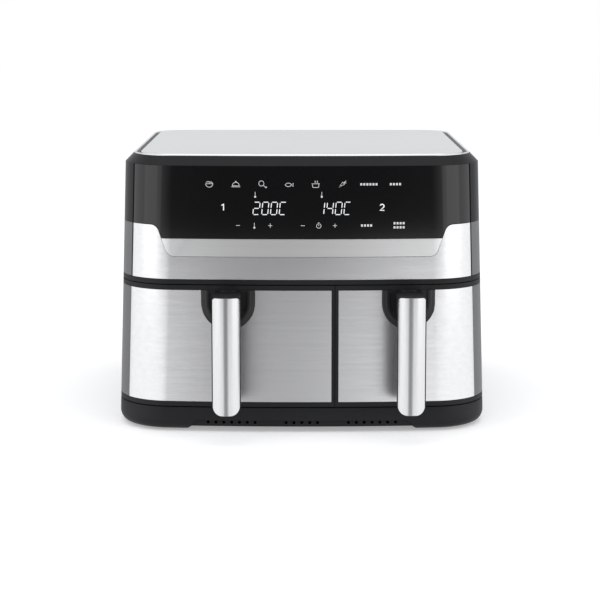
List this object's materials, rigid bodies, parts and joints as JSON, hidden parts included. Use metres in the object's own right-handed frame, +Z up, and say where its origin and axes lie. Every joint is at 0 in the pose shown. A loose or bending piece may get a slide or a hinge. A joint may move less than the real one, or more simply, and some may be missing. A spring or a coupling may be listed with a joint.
{
  "type": "air fryer",
  "caption": "Countertop air fryer with a larger and a smaller pull-out drawer side by side, vertical bar handles and a touch control panel across the front.",
  "frame": {"origin": "middle of the footprint, handles included, on the surface that the feet stand on", "axes": "+X to the right as seen from the front, +Y towards the back, +Z up"},
  "size_m": [0.3852, 0.4398, 0.285],
  "materials": {
    "matte_black": "fine moulded texture",
    "side_grey": "satin moulded grey",
    "gloss_black": "polished",
    "steel": "brushed across the width",
    "bright_steel": "satin",
    "rubber": "matt",
    "silicone": "soft",
    "non_stick": "fine-grained non-stick coating",
    "sheet_metal": "plain rolled",
    "wire_steel": "plated",
    "heater": "oxidised tube",
    "motor_steel": "zinc plated",
    "fan_plastic": "moulded",
    "ceramic": "moulded",
    "brass": "turned",
    "board": "solder resist"
  },
  "bodies": {
    "housing": {"base_pan": "matte_black", "rubber_feet": "rubber", "body_shell": "matte_black", "left_lower_side": "side_grey", "right_lower_side": "side_grey", "left_upper_side": "side_grey", "right_upper_side": "side_grey", "rear_cover": "matte_black", "cord_bush": "matte_black", "top_housing": "gloss_black", "silver_rim": "bright_steel", "top_plate": "steel", "control_panel": "gloss_black", "control_board": "board", "bright_strip": "bright_steel", "front_fascia": "steel", "mouth_frame": "matte_black", "left_liner": "sheet_metal", "right_liner": "sheet_metal", "left_coil": "heater", "right_coil": "heater", "left_coil_guard": "wire_steel", "right_coil_guard": "wire_steel", "left_motor": "motor_steel", "right_motor": "motor_steel", "motor_mounts": "rubber", "heat_shield": "sheet_metal", "temperature_probes": "brass", "thermal_cutouts": "ceramic", "power_board": "board", "drawer_switches": "ceramic", "exhaust_ducts": "sheet_metal", "housing_screws": "wire_steel"},
    "left_drawer": {"left_front_frame": "matte_black", "left_front_skin": "steel", "left_handle_plate": "matte_black", "left_handle_core": "matte_black", "left_handle_cover": "bright_steel", "left_pan": "non_stick", "left_magnet": "motor_steel", "left_handle_screws": "wire_steel"},
    "left_basket_tray": {"left_tray": "non_stick", "left_tray_pads": "silicone"},
    "left_fan": {"left_shaft": "wire_steel", "left_impeller": "sheet_metal", "left_cooling_fan": "fan_plastic"},
    "right_drawer": {"right_front_frame": "matte_black", "right_front_skin": "steel", "right_handle_plate": "matte_black", "right_handle_core": "matte_black", "right_handle_cover": "bright_steel", "right_pan": "non_stick", "right_magnet": "motor_steel", "right_handle_screws": "wire_steel"},
    "right_basket_tray": {"right_tray": "non_stick", "right_tray_pads": "silicone"},
    "right_fan": {"right_shaft": "wire_steel", "right_impeller": "sheet_metal", "right_cooling_fan": "fan_plastic"}
  },
  "joints": [
    {"name": "left_drawer_slide", "type": "slide", "parent": "housing", "child": "left_drawer", "axis": [0, -1, 0], "range_m": [0, 0.325]},
    {"name": "right_drawer_slide", "type": "slide", "parent": "housing", "child": "right_drawer", "axis": [0, -1, 0], "range_m": [0, 0.325]},
    {"name": "left_tray_lift", "type": "slide", "parent": "left_drawer", "child": "left_basket_tray", "axis": [0, 0, 1], "range_m": [0, 0.09]},
    {"name": "right_tray_lift", "type": "slide", "parent": "right_drawer", "child": "right_basket_tray", "axis": [0, 0, 1], "range_m": [0, 0.09]},
    {"name": "left_fan_spin", "type": "hinge", "parent": "housing", "child": "left_fan", "pos_m": [-0.0725, 0.0251, 0.208], "axis": [0, 0, 1], "continuous": true},
    {"name": "right_fan_spin", "type": "hinge", "parent": "housing", "child": "right_fan", "pos_m": [0.1065, 0.0251, 0.208], "axis": [0, 0, 1], "continuous": true}
  ]
}
